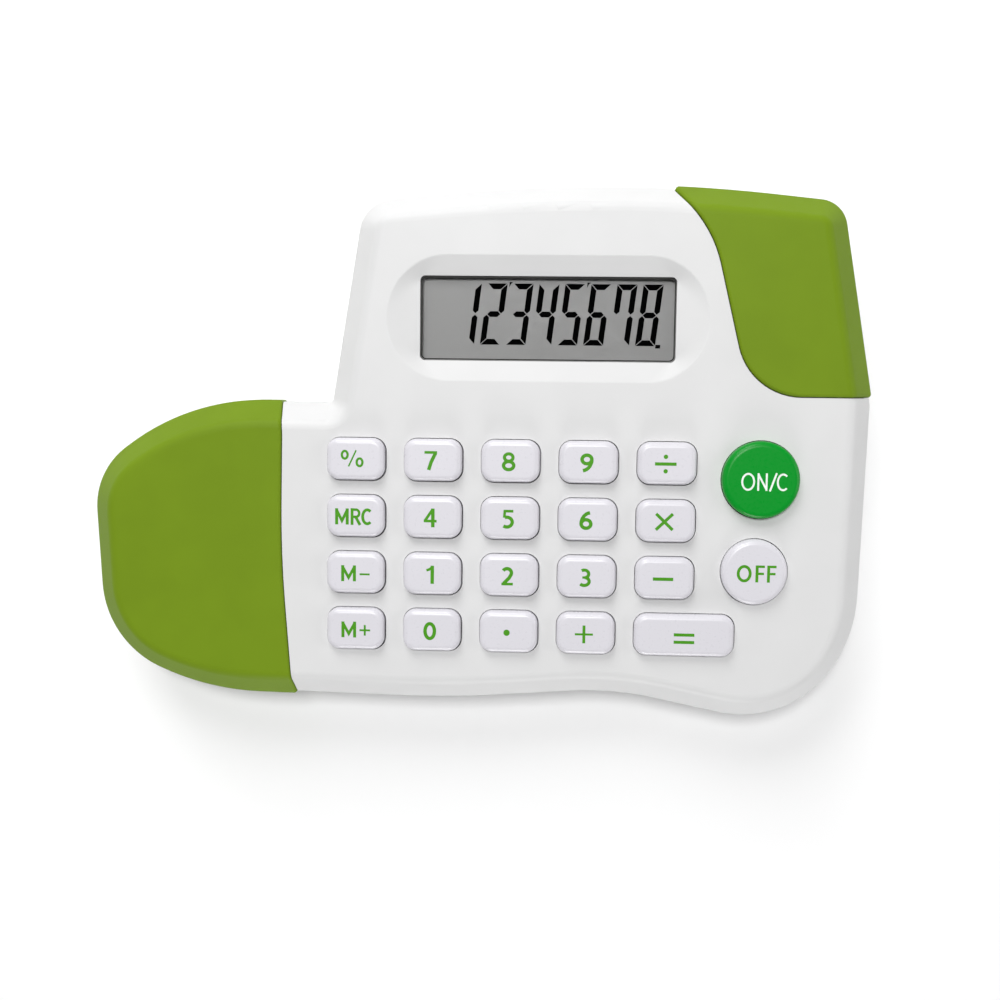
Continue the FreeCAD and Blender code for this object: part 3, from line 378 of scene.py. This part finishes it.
# Millimetres from the middle of a key to the middle of its legend, where it isn't the usual shift.
LEGEND_SHIFT = {
    "on_clear": (0.6, -0.3),
    "off": (0.3, -0.2),
    "equals": (0.0, -0.5),
    "percent": (-0.55, 0.1),
    "m_minus": (0.1, -0.2),
    "m_plus": (0.15, -0.2),
}
USUAL_SHIFT = (-0.3, -0.08)


def key_legends():
    """The legend printed on top of every key."""
    for glyph, shapes in GLYPHS.items():
        node = "key_" + glyph
        low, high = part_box(node)
        place = middle(low, high, high.z, LEGEND_SHIFT.get(glyph, USUAL_SHIFT))
        ink = INK_WHITE if glyph == "on_clear" else INK_GREEN
        ink_piece("legend_" + glyph, shapes, place, node, ink)


# ---------------------------------------------------------------- display

# The digits in millimetres. A mark is given from the middle of its digit, by the digit that it follows.
DIGIT_WIDTH = 3.85
DIGIT_HEIGHT = 11.75
DIGIT_PITCH = 5.0
DIGIT_SLANT = math.tan(math.radians(7.0))
SEGMENT = 1.1                     # width of a bar of a digit
SEGMENT_GAP = 0.1
LAST_DIGIT = (19.55, 0.92)        # the middle of the eighth digit, from the middle of the window
SEGMENTS_OF = {1: "bc", 2: "abged", 3: "abgcd", 4: "fgbc", 5: "afgcd", 6: "afgecd", 7: "fabc", 8: "abcdefg"}
THOUSANDS_MARK = [(2.26, 6.17), (2.92, 6.17), (2.55, 5.75), (2.3, 5.1)]
DECIMAL_POINT = [(2.0, -5.6), (2.95, -5.6), (2.95, -6.3), (2.0, -6.3)]
MARK_AFTER = {2: THOUSANDS_MARK, 5: THOUSANDS_MARK, 8: DECIMAL_POINT}


def segment_shapes():
    """The seven bars of an upright digit, lettered a to g in the usual order."""
    side, top, thick, gap = DIGIT_WIDTH / 2, DIGIT_HEIGHT / 2, SEGMENT, SEGMENT_GAP
    tip = gap * 1.4        # how far the point of a post stays from the digit's middle line
    inner = side - thick - gap
    top_bar = [(-side + gap, top), (side - gap, top), (inner, top - thick), (-inner, top - thick)]
    post = [
        (side, top - gap),
        (side, thick / 2 + gap),
        (side - thick / 2, tip),
        (side - thick, thick / 2 + gap),
        (side - thick, top - thick - gap),
    ]
    middle_bar = [
        (-side + thick / 2 + gap, 0),
        (-inner, thick / 2),
        (inner, thick / 2),
        (side - thick / 2 - gap, 0),
        (inner, -thick / 2),
        (-inner, -thick / 2),
    ]
    return {
        "a": top_bar,
        "b": post,
        "c": [(x, -y) for x, y in post],
        "d": [(x, -y) for x, y in top_bar],
        "e": [(-x, -y) for x, y in post],
        "f": [(-x, y) for x, y in post],
        "g": middle_bar,
    }


def slanted(shape, x, y):
    return [(px + py * DIGIT_SLANT + x, py + y) for px, py in shape]


def window_face():
    """Lowest and highest corners of the lens's outer face."""
    points = [v.co for v in NODES["display_window"].data.vertices]
    top = max(p.z for p in points)
    face = [p for p in points if p.z > top - 0.01 * MM]
    low, high = [Vector([pick(p[axis] for p in face) for axis in range(3)]) for pick in (min, max)]
    return low, high


def lcd_digits():
    """The display's digits, 12345678, on the panel behind the lens."""
    place = middle(*window_face(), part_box("lcd_glass")[1].z)
    bars = segment_shapes()
    for digit, lit in SEGMENTS_OF.items():
        x = LAST_DIGIT[0] - DIGIT_PITCH * (len(SEGMENTS_OF) - digit)
        upright = [bars[letter] for letter in lit]
        if digit in MARK_AFTER:
            upright.append(MARK_AFTER[digit])
        shapes = [slanted(shape, x, LAST_DIGIT[1]) for shape in upright]
        ink_piece(f"lcd_digit_{digit}", shapes, place, "lcd_glass", LCD_DARK)


def rounded_ring(half_x, half_y, radius):
    """A closed run of points round a rectangle with rounded corners."""
    quarters = [(half_x, half_y, 0), (-half_x, half_y, 90), (-half_x, -half_y, 180), (half_x, -half_y, 270)]
    run = []
    for x, y, start in quarters:
        centre = (x - math.copysign(radius, x), y - math.copysign(radius, y))
        run += arc(*centre, radius, radius, start, start + 90)
    return run + run[:1]


def window_edge_shade():
    """A dark line painted round the edge of the lens: painted shade standing in for the shadow in the gap at
    the edge of the window.
    """
    line, corner = 0.22, 1.1
    low, high = window_face()
    half_x, half_y = (high.x - low.x) / 2 / MM, (high.y - low.y) / 2 / MM
    ring = rounded_ring(half_x - line / 2, half_y - line / 2, corner - line / 2)
    ink_piece("window_edge_shade", pen(ring, line), middle(low, high, high.z), "display_window", PAINTED_EDGE_SHADE)


# ---------------------------------------------------------------- camera, floor and light

CAMERA_PLACE = (0.01705, 0.01384, 0.25913)
CAMERA_TURN = (-5.314, 2.905, 0.673)          # degrees about x, y and z
FLOOR_DROP = 0.00005                          # metres that the floor lies below the feet
AIM = Vector((0, 0, 0.01))                    # the point that every light faces
SOFT_BOXES = [                                # name, place, size in metres, watts
    ("key_box", (-0.05, 0.30, 1.0), 0.25, 6.0),
    ("back_box", (-0.2, 0.70, 0.50), 0.5, 5.6),
    ("front_box", (0.0, -0.90, 0.15), 0.4, 5.2),
    ("right_box", (0.8, 0.0, 0.3), 0.5, 1.9),
    ("left_box", (-0.8, 0.0, 0.3), 0.5, 0.6),
]


def place_camera():
    """Set the scene's camera almost straight above the object."""
    data = bpy.data.cameras.new("camera")
    data.lens = 45
    data.sensor_width = 36
    data.clip_start = 0.01
    camera = bpy.data.objects.new("camera", data)
    camera.location = CAMERA_PLACE
    camera.rotation_euler = [math.radians(a) for a in CAMERA_TURN]
    bpy.context.scene.collection.objects.link(camera)
    bpy.context.scene.camera = camera


def lay_floor():
    """Lay a plain pale floor under the object."""
    bpy.ops.mesh.primitive_plane_add(size=4.0, location=(0, 0, -FLOOR_DROP))
    floor = bpy.context.object
    floor.name = "floor"
    paper = Shader("pale_floor", (0.92, 0.92, 0.92), 0.9)
    paper.vary_colour(paper.noise(grains_per_mm=0.02), darker=0.995, lighter=1.005)
    floor.data.materials.append(paper.material)


def soft_box(name, place, size, watts):
    data = bpy.data.lights.new(name, "AREA")
    data.size = size
    data.energy = watts
    lamp = bpy.data.objects.new(name, data)
    lamp.location = place
    lamp.rotation_euler = (AIM - Vector(place)).to_track_quat("-Z", "Y").to_euler()
    bpy.context.scene.collection.objects.link(lamp)


def light_studio():
    """Light the scene with a dim even sky and the soft boxes."""
    world = bpy.data.worlds.new("studio")
    world.use_nodes = True
    sky = world.node_tree.nodes["Background"]
    sky.inputs["Color"].default_value = (1, 1, 1, 1)
    sky.inputs["Strength"].default_value = 0.11
    bpy.context.scene.world = world
    for box in SOFT_BOXES:
        soft_box(*box)
    bpy.context.scene.view_settings.view_transform = "Standard"


dress_nodes()
key_legends()
lcd_digits()
window_edge_shade()
place_camera()
lay_floor()
light_studio()
